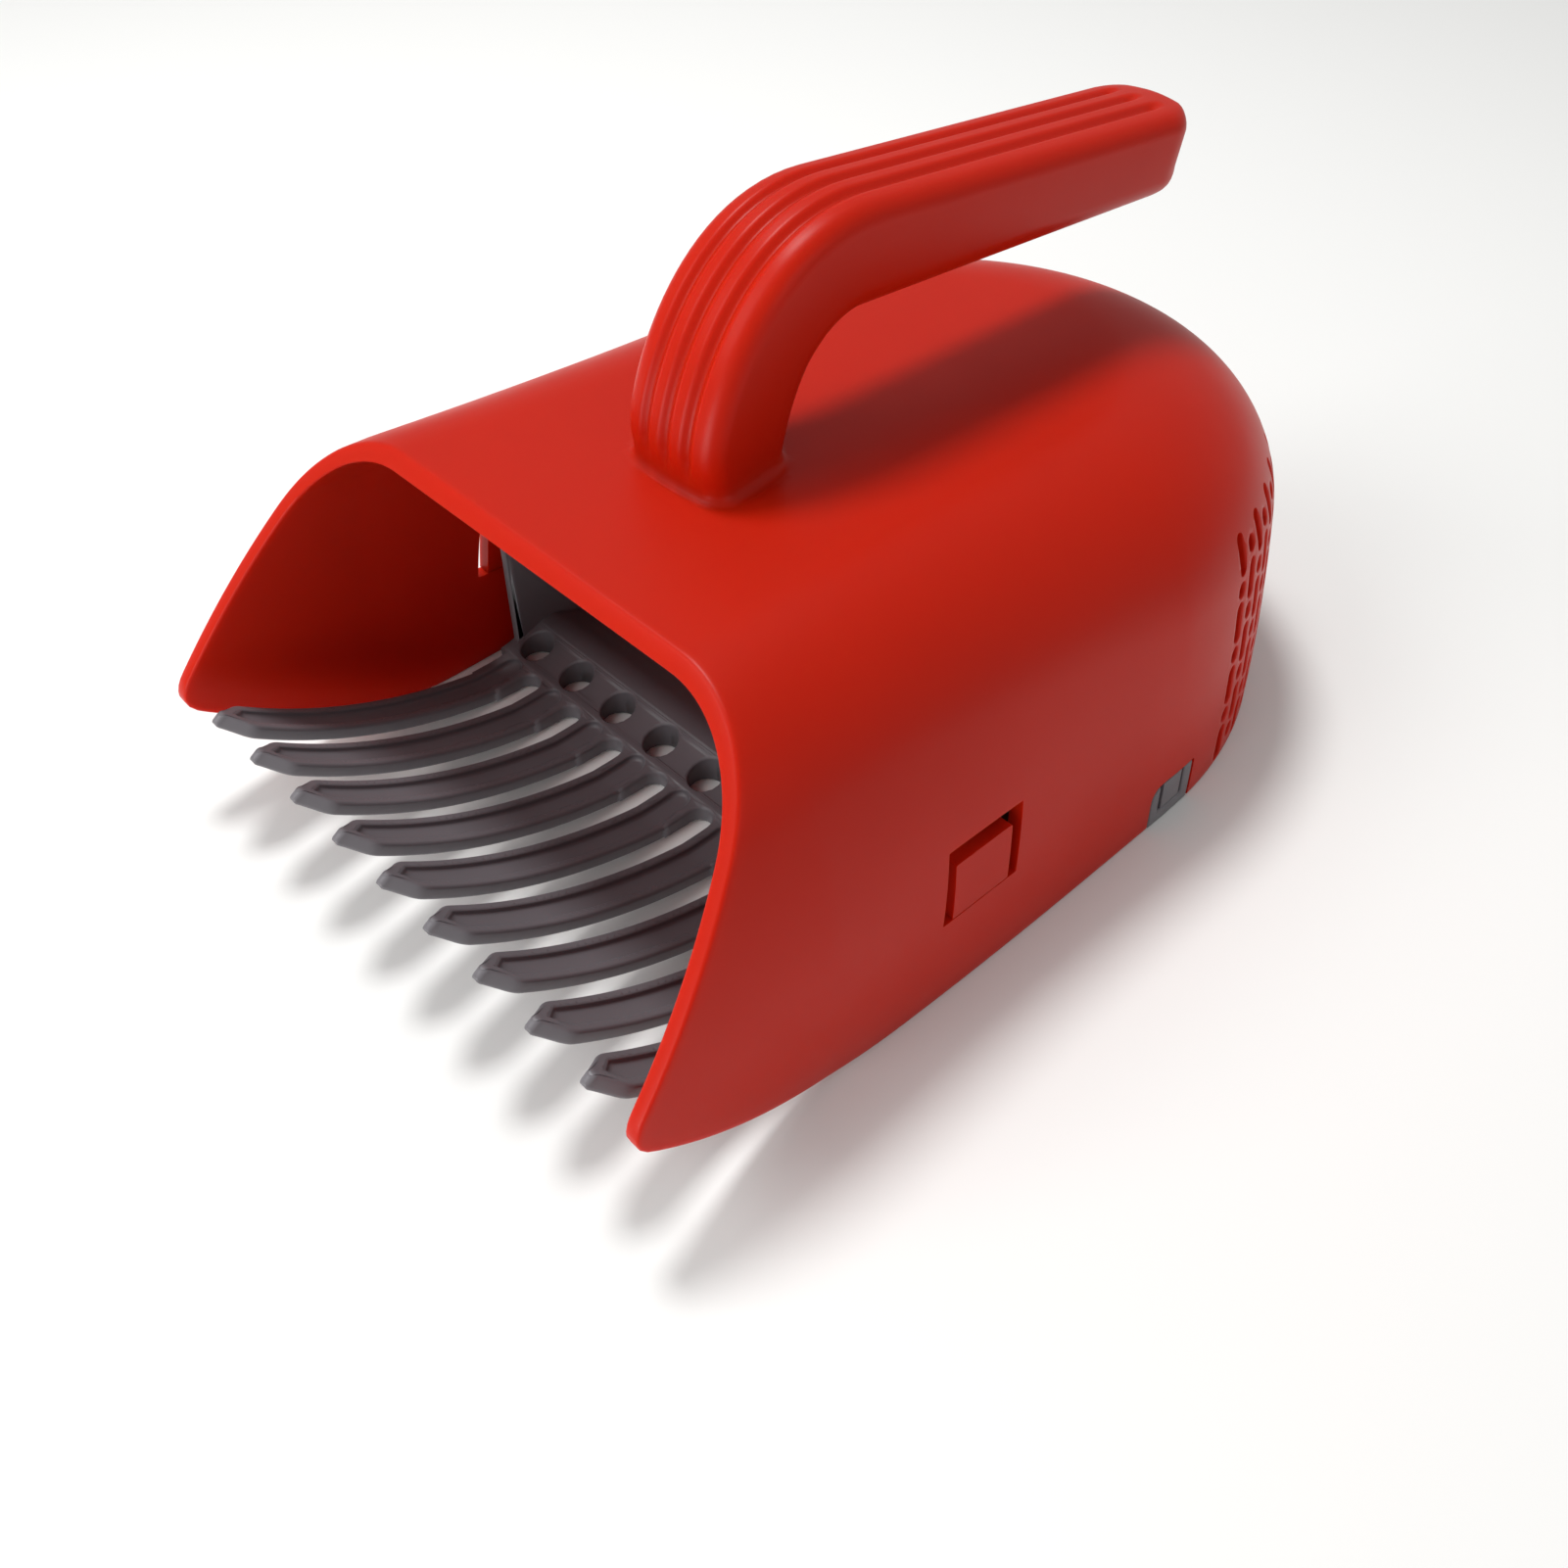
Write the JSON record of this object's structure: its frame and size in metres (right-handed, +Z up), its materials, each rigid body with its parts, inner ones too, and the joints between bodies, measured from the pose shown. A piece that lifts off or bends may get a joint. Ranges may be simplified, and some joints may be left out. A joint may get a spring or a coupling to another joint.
{
  "type": "berry picking rake",
  "caption": "Hand rake for picking berries: a hood with a carrying handle over a snap-in comb tray with grooved, curved teeth.",
  "frame": {"origin": "centre of the object's outline seen from above, on the flat surface it rests on", "axes": "+X to the right seen from behind the handle, +Y from the teeth towards the rounded rear, +Z up"},
  "size_m": [0.1492, 0.2274, 0.1253],
  "materials": {
    "red_plastic": "satin moulded polypropylene, warm red",
    "grey_plastic": "satin moulded polypropylene, dark grey"
  },
  "bodies": {
    "hood": {"hood": "red_plastic"},
    "tray": {"comb_tray": "grey_plastic"},
    "side_catch_right": {"side_catch_right": "red_plastic"},
    "side_catch_left": {"side_catch_left": "red_plastic"},
    "rear_latch_right": {"rear_latch_right": "grey_plastic"},
    "rear_latch_left": {"rear_latch_left": "grey_plastic"}
  },
  "joints": [
    {"name": "tray_removal", "type": "slide", "parent": "hood", "child": "tray", "axis": [0, 0, -1], "range_m": [0, 0.08]},
    {"name": "side_catch_right_flex", "type": "hinge", "parent": "hood", "child": "side_catch_right", "pos_m": [0.0721, -0.03104, 0.0221], "axis": [0, 1, 0], "range_deg": [0, 8], "stiffness_Nm_per_rad": 0.05},
    {"name": "side_catch_left_flex", "type": "hinge", "parent": "hood", "child": "side_catch_left", "pos_m": [-0.0721, -0.03104, 0.0221], "axis": [0, -1, 0], "range_deg": [0, 8], "stiffness_Nm_per_rad": 0.05},
    {"name": "rear_latch_right_flex", "type": "hinge", "parent": "tray", "child": "rear_latch_right", "pos_m": [0.0711, 0.03151, 0.0034], "axis": [0, -1, 0], "range_deg": [0, 8], "stiffness_Nm_per_rad": 0.02},
    {"name": "rear_latch_left_flex", "type": "hinge", "parent": "tray", "child": "rear_latch_left", "pos_m": [-0.0711, 0.03151, 0.0034], "axis": [0, 1, 0], "range_deg": [0, 8], "stiffness_Nm_per_rad": 0.02}
  ]
}
